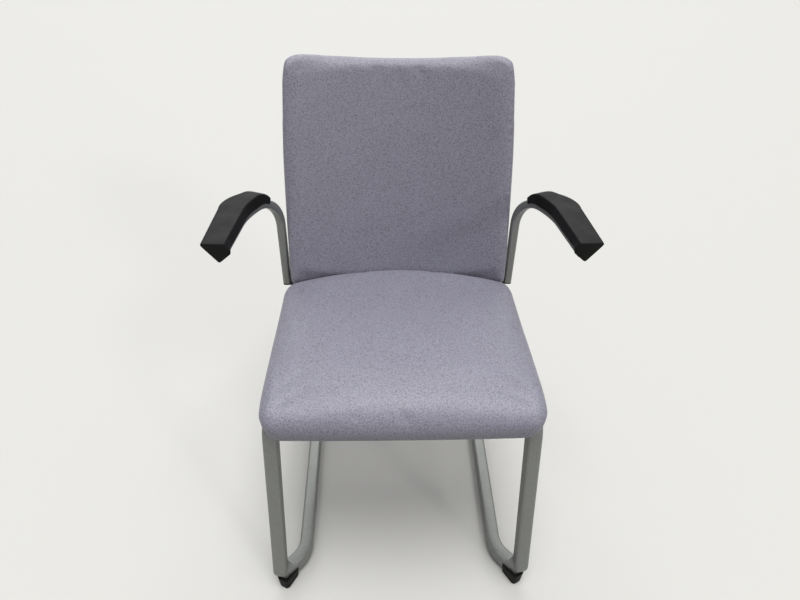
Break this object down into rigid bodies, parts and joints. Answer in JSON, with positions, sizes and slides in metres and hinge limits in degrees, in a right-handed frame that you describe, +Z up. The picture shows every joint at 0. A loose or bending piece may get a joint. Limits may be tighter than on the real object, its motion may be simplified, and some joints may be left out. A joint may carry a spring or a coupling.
{
  "type": "cantilever conference chair",
  "caption": "Armchair with an upholstered seat and curved back on a springy cantilever tube frame, with bent tube arms under wedge shaped plastic pads.",
  "frame": {"origin": "on the floor under the middle of the chair", "axes": "+Z is up, the chair faces -Y, +X is to the right of a viewer in front of it"},
  "size_m": [0.6364, 0.6099, 0.862],
  "materials": {
    "frame_paint": "satin",
    "black_steel": "matte",
    "zinc_steel": "satin",
    "black_plastic": "matte",
    "pad_plastic": "semi-matte",
    "ply": "matte",
    "foam": "matte",
    "upholstery": "matte"
  },
  "bodies": {
    "base": {"right_runner": "frame_paint", "left_runner": "frame_paint", "rear_floor_bar": "frame_paint", "runner_joiners": "zinc_steel", "front_glide_right": "black_plastic", "front_glide_left": "black_plastic", "rear_glides": "black_plastic", "glide_screws": "zinc_steel", "right_front_leg": "frame_paint", "left_front_leg": "frame_paint"},
    "seat": {"right_seat_rail": "frame_paint", "left_seat_rail": "frame_paint", "front_cross_tube": "frame_paint", "rear_cross_tube": "frame_paint", "rail_end_caps": "black_plastic", "seat_pan": "ply", "seat_foam": "foam", "seat_cover": "upholstery", "seat_spacers": "black_plastic", "seat_screws": "zinc_steel", "seat_tee_nuts": "zinc_steel", "back_shell": "ply", "back_foam": "foam", "back_cover": "upholstery", "back_support_right": "black_steel", "back_support_left": "black_steel", "back_spacers": "black_plastic", "back_screws": "zinc_steel", "back_tee_nuts": "zinc_steel", "arm_tube_right": "frame_paint", "arm_tube_left": "frame_paint", "arm_tube_plugs": "black_plastic", "arm_pad_right": "pad_plastic", "arm_pad_left": "pad_plastic", "arm_pad_screws": "zinc_steel", "arm_bracket_right": "black_steel", "arm_bracket_left": "black_steel", "arm_bracket_bolts": "zinc_steel", "arm_tube_bolts": "zinc_steel"}
  },
  "joints": [
    {"name": "cantilever_flex", "type": "hinge", "parent": "base", "child": "seat", "pos_m": [0, -0.26, 0.211], "axis": [-1, 0, 0], "range_deg": [-1, 4], "stiffness_Nm_per_rad": 4500, "springref_deg": -0.52, "deforming": ["right_front_leg", "left_front_leg"]}
  ]
}
